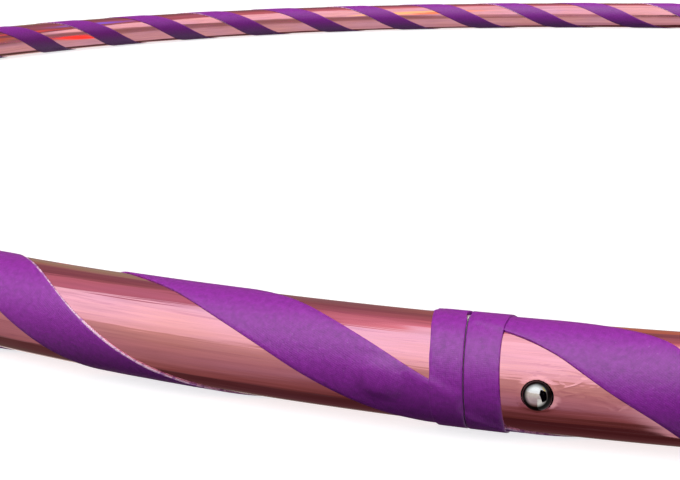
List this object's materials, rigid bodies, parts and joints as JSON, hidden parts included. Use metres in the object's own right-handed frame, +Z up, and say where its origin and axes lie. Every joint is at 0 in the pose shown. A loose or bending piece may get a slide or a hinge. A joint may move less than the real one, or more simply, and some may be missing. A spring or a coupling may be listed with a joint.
{
  "type": "collapsible dance hoop",
  "caption": "Round dance and gymnastics hoop: a taped plastic tube ring closed by a riveted insert and a spring-loaded push button at the seam.",
  "frame": {"origin": "centre of the hoop, on the surface that the hoop lies flat on", "axes": "+Z up, square to the plane of the hoop; the snap button points along -Y; +X completes a right-handed frame"},
  "size_m": [0.9148, 0.9165, 0.0206],
  "materials": {
    "tube_plastic": "natural translucent white polypropylene tube",
    "mirror_film": "rose-gold metallised film with a faint colour shift, glossy, slightly wavy",
    "grip_tape": "matt woven cloth tape, fine weave",
    "insert_plastic": "natural polyethylene tube",
    "button_chrome": "polished dome",
    "spring_steel": "rolled spring steel",
    "rivet_aluminium": "plain",
    "mandrel_steel": "zinc plated, snapped end"
  },
  "bodies": {
    "hoop": {"hoop_tube": "tube_plastic", "mirror_film_strip_a": "mirror_film", "mirror_film_strip_b": "mirror_film", "grip_tape_strip_a": "grip_tape", "grip_tape_strip_b": "grip_tape", "seam_band_left": "grip_tape", "seam_band_right": "grip_tape", "connector_insert": "insert_plastic", "button_spring": "spring_steel", "rivet_body": "rivet_aluminium", "rivet_mandrel": "mandrel_steel"},
    "button": {"snap_button": "button_chrome"}
  },
  "joints": [
    {"name": "button_press", "type": "slide", "parent": "hoop", "child": "button", "axis": [0, 1, 0], "range_m": [0, 0.0038], "stiffness_N_per_m": 2500, "springref_m": -0.0012, "deforming": ["button_spring"]}
  ]
}
